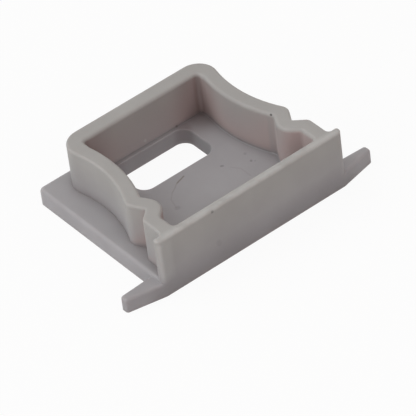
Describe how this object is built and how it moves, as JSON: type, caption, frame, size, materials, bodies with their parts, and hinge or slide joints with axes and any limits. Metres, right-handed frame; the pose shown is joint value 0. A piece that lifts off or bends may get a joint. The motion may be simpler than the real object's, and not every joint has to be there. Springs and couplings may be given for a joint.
{
  "type": "profile end cap",
  "caption": "Moulded end cap for a flanged aluminium profile: flat plate with tapered wings, hollow plug with a groove in each side, and a cable slot through the plate.",
  "frame": {"origin": "middle of the outer face's bounding rectangle, at the base", "axes": "+X across the cap from wing tip to wing tip, -Y towards the flush front wall and the wings, +Z from the outer face into the profile"},
  "size_m": [0.0244, 0.0156, 0.0055],
  "materials": {
    "cap_plastic": "satin light grey moulded plastic"
  },
  "bodies": {
    "root": {"end_cap": "cap_plastic"}
  },
  "joints": []
}
